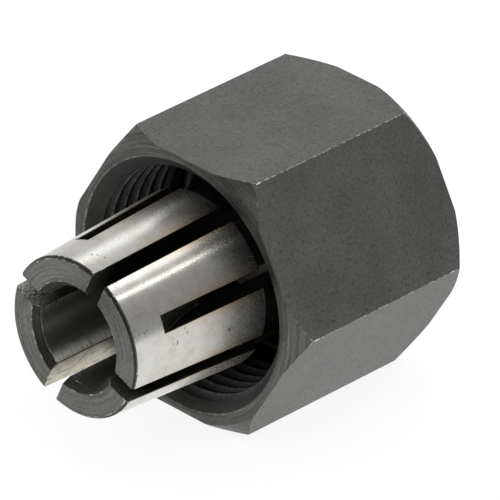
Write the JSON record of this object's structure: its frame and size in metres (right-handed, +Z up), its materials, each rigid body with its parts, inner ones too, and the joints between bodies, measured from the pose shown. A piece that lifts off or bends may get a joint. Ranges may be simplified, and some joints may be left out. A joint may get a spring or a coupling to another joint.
{
  "type": "router collet assembly",
  "caption": "Router collet assembly: a blackened hexagon nut that holds a slotted, ground, tapered collet for a straight tool shank.",
  "frame": {"origin": "centre of the bounding box on the surface that the nut's lower flat lies on", "axes": "+Z up, collet axis level along Y with the collet's nose towards -Y, nut corners at +X and -X"},
  "size_m": [0.0254, 0.0304, 0.022],
  "materials": {
    "blackened_steel": "matt black oxide over a fine turned and milled surface",
    "ground_steel": "bright ground taper, dark hardened surface elsewhere",
    "spring_steel": "dark drawn wire"
  },
  "bodies": {
    "nut_body": {"collet_nut": "blackened_steel"},
    "ring_body": {"snap_ring": "spring_steel"},
    "collet_body": {"collet": "ground_steel"}
  },
  "joints": [
    {"name": "collet_turn", "type": "hinge", "parent": "nut_body", "child": "ring_body", "pos_m": [0, 0, 0.011], "axis": [0, 1, 0], "continuous": true},
    {"name": "collet_float", "type": "slide", "parent": "ring_body", "child": "collet_body", "axis": [0, -1, 0], "range_m": [-0.0006, 0.00025]}
  ]
}
